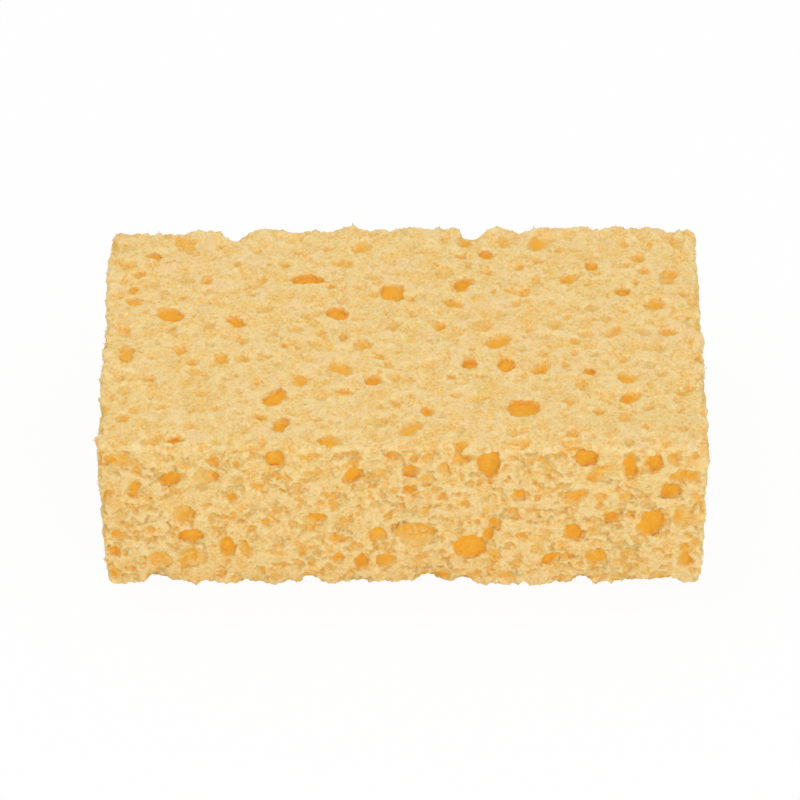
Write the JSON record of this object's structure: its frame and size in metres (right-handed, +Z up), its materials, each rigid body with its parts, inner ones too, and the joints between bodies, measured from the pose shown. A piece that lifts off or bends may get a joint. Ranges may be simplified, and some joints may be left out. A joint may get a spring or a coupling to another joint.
{
  "type": "cleaning sponge",
  "caption": "Rectangular block of open-cell cellulose foam with large round pores on every face, for washing and wiping by hand.",
  "frame": {"origin": "middle of the rectangle that the block stands on, at the base", "axes": "+X along the length to the right end, +Y to the back of the block as pictured, +Z up through the thickness"},
  "size_m": [0.12, 0.07, 0.035],
  "materials": {
    "foam": "matte"
  },
  "bodies": {
    "root": {"sponge": "foam"}
  },
  "joints": []
}
